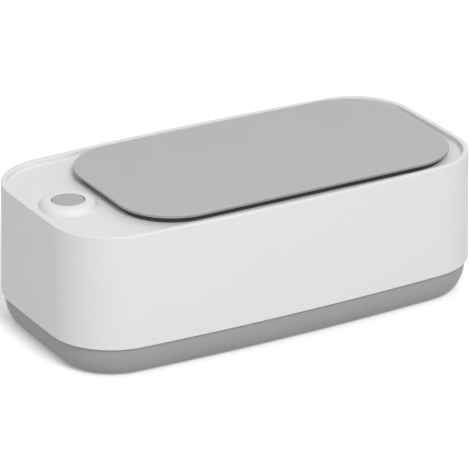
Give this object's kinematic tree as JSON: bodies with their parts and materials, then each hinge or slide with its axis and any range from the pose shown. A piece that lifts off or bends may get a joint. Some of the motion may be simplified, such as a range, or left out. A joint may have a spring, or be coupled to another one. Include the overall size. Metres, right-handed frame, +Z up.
{
  "type": "ultrasonic jewelry cleaner",
  "caption": "Portable ultrasonic cleaner: rounded housing, lift-off lid over a steel tank, push button in a domed collar, driver board, dry cells and a sliding battery door.",
  "frame": {"origin": "on the table under the middle of the body", "axes": "+X along the body away from the button end, -Y towards the long front side, +Z up"},
  "size_m": [0.2, 0.102, 0.0652],
  "materials": {
    "white_shell": "satin moulded white plastic",
    "grey_base": "satin moulded grey plastic",
    "grey_lid": "satin moulded light grey plastic",
    "dark_liner": "matt dark plastic",
    "soft_seal": "matt silicone",
    "tank_steel": "drawn and brushed stainless steel",
    "grey_button": "satin grey plastic",
    "rubber_foot": "matt rubber",
    "zinc_steel": "zinc plated steel",
    "aluminium": "plain aluminium",
    "ceramic": "fired ceramic with a silvered face",
    "green_board": "solder mask on laminate",
    "black_plastic": "satin black plastic",
    "ferrite": "dull ferrite",
    "copper_winding": "enamelled copper wire",
    "ivory_plastic": "ivory nylon",
    "cell_jacket": "plain printed jacket",
    "red_wire": "insulated wire",
    "black_wire": "insulated wire"
  },
  "bodies": {
    "housing": {"base_pan": "grey_base", "battery_connector": "ivory_plastic", "battery_wire_black": "black_wire", "battery_wire_red": "red_wire", "button_collar": "white_shell", "button_spring": "zinc_steel", "capacitor_large": "black_plastic", "capacitor_small": "black_plastic", "cell_1": "cell_jacket", "cell_2": "cell_jacket", "cell_3": "cell_jacket", "cell_4": "cell_jacket", "cell_spring_1": "zinc_steel", "cell_spring_2": "zinc_steel", "cell_spring_3": "zinc_steel", "cell_spring_4": "zinc_steel", "contact_left_1": "zinc_steel", "contact_left_2": "zinc_steel", "contact_left_3": "zinc_steel", "contact_right_1": "zinc_steel", "contact_right_2": "zinc_steel", "driver_board": "green_board", "driver_board_screw_1": "zinc_steel", "driver_board_screw_2": "zinc_steel", "driver_board_screw_3": "zinc_steel", "driver_board_screw_4": "zinc_steel", "foot_back_left": "rubber_foot", "foot_back_right": "rubber_foot", "foot_front_left": "rubber_foot", "foot_front_right": "rubber_foot", "heat_sink": "aluminium", "housing_screw_back_left": "zinc_steel", "housing_screw_back_right": "zinc_steel", "housing_screw_front_left": "zinc_steel", "housing_screw_front_right": "zinc_steel", "key_board": "green_board", "key_board_screw_1": "zinc_steel", "key_board_screw_2": "zinc_steel", "key_connector": "ivory_plastic", "key_wire_black": "black_wire", "key_wire_red": "red_wire", "outer_shell": "white_shell", "tact_switch": "black_plastic", "tank": "tank_steel", "tank_seal": "soft_seal", "transducer_ceramic": "ceramic", "transducer_connector": "ivory_plastic", "transducer_plate": "aluminium", "transducer_wire_black": "black_wire", "transducer_wire_red": "red_wire", "transformer_core": "ferrite", "transformer_winding": "copper_winding", "transistor": "black_plastic"},
    "lid": {"lid_plate": "grey_lid", "lid_liner": "dark_liner", "lid_seal": "soft_seal"},
    "button": {"button_cap": "grey_button"},
    "battery_door": {"battery_door": "grey_base"}
  },
  "joints": [
    {"name": "lid_lift", "type": "slide", "parent": "housing", "child": "lid", "axis": [0, 0, 1], "range_m": [0, 0.05]},
    {"name": "button_press", "type": "slide", "parent": "housing", "child": "button", "axis": [0, 0, -1], "range_m": [0, 0.001], "stiffness_N_per_m": 400, "springref_m": -0.002, "deforming": ["button_spring"]},
    {"name": "battery_door_slide", "type": "slide", "parent": "housing", "child": "battery_door", "axis": [1, 0, 0], "range_m": [0, 0.055]}
  ]
}
